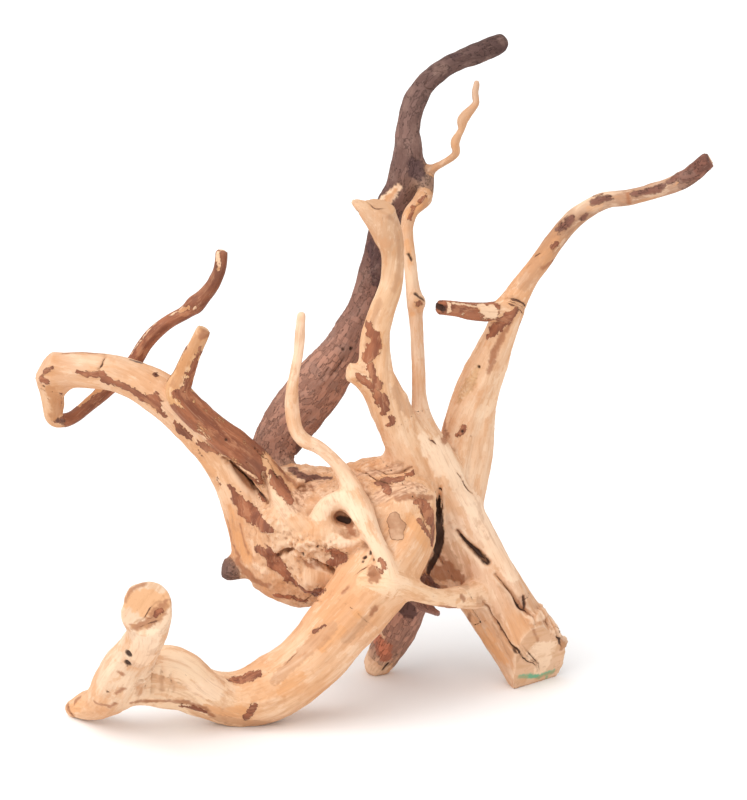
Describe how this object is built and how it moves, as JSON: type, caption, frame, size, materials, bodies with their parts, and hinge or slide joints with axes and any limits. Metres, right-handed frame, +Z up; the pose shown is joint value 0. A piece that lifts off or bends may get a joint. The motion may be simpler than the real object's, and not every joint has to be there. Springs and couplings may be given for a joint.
{
  "type": "spider wood",
  "caption": "Branching piece of pale stripped root wood with a knotted crown, curved limbs and thin twigs, standing on its lowest limbs as an aquarium or terrarium centrepiece.",
  "frame": {"origin": "on the floor under the middle of the piece's box", "axes": "+Z up as it stands, +Y away from the viewer's side, which shows the swirl eye and the sawn stub, +X to the viewer's right"},
  "size_m": [0.4001, 0.2156, 0.3949],
  "materials": {
    "stripped_wood": "sandblasted, dry and matt",
    "burl_wood": "rough pitted burl, dry and matt",
    "dark_bark": "fibrous weathered bark, matt",
    "red_bark": "smooth inner bark, satin in places"
  },
  "bodies": {
    "root": {"root_crown": "burl_wood", "front_limb": "stripped_wood", "front_stub": "stripped_wood", "trunk": "stripped_wood", "back_foot": "dark_bark", "cross_root": "stripped_wood", "left_limb": "stripped_wood", "thorn": "red_bark", "hook_twig": "red_bark", "dark_branch": "dark_bark", "dark_twig": "stripped_wood", "centre_branch": "stripped_wood", "slender_branch": "stripped_wood", "eye_twig": "stripped_wood", "right_branch": "stripped_wood", "side_peg": "red_bark"}
  },
  "joints": []
}
